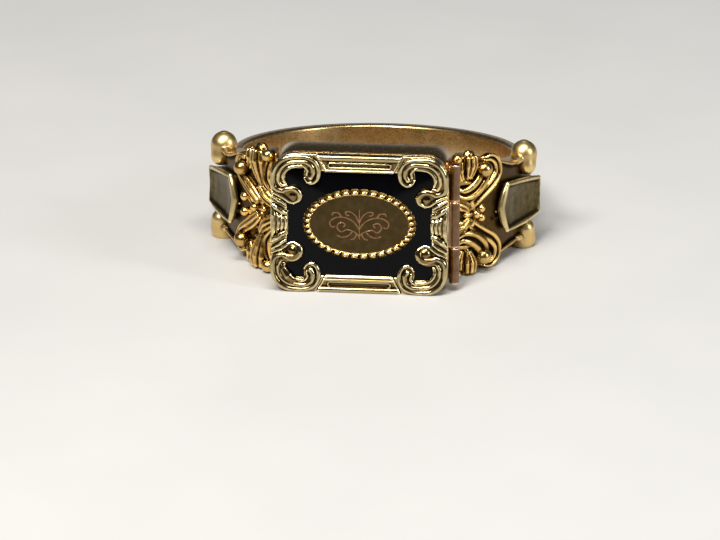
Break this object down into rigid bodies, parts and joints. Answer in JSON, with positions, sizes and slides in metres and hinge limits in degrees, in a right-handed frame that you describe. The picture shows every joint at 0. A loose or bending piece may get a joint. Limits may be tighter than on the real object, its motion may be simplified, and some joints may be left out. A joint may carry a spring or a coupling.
{
  "type": "locket signet ring",
  "caption": "Finger ring with scrolled shoulders and a rectangular locket head, whose hinged enamelled lid carries an oval engraved plaque.",
  "frame": {"origin": "centre of the finger hole, on its axis", "axes": "+Z along the finger hole's axis; -Y out of the locket head's face; +X towards the lid's hinge"},
  "size_m": [0.0218, 0.0211, 0.0088],
  "materials": {
    "gold": "old yellow gold, softly polished on the high parts and darker in the recesses",
    "pale_gold": "bright worn yellow gold",
    "rose_gold": "reddish gold of the hinge, softly polished",
    "black_enamel": "glossy black enamel",
    "crystal": "clear polished crystal"
  },
  "bodies": {
    "ring": {"hoop": "gold", "shoulder_left": "gold", "panel_left": "gold", "scroll_upper_left": "gold", "scroll_lower_left": "gold", "rosette_left": "gold", "end_knobs_left": "pale_gold", "shoulder_right": "gold", "panel_right": "gold", "scroll_upper_right": "gold", "scroll_lower_right": "gold", "rosette_right": "gold", "end_knobs_right": "pale_gold", "case_wall": "gold", "case_back": "gold", "compartment_floor": "pale_gold", "glass_rim": "pale_gold", "crystal": "crystal", "case_knuckle_upper": "rose_gold", "case_knuckle_lower": "rose_gold", "hinge_pin": "rose_gold"},
    "lid": {"lid_rim": "gold", "lid_plate": "gold", "lid_knuckle": "rose_gold", "enamel_field": "black_enamel", "plaque": "pale_gold", "plaque_border": "pale_gold", "corner_scroll_upper_left": "pale_gold", "corner_scroll_upper_right": "pale_gold", "corner_scroll_lower_left": "pale_gold", "corner_scroll_lower_right": "pale_gold", "long_bar_upper": "pale_gold", "long_bar_lower": "pale_gold", "short_bar_left": "pale_gold", "short_bar_right": "pale_gold"}
  },
  "joints": [
    {"name": "lid_hinge", "type": "hinge", "parent": "ring", "child": "lid", "pos_m": [0.00594, -0.0102, 0], "axis": [0, 0, 1], "range_deg": [0, 115]}
  ]
}
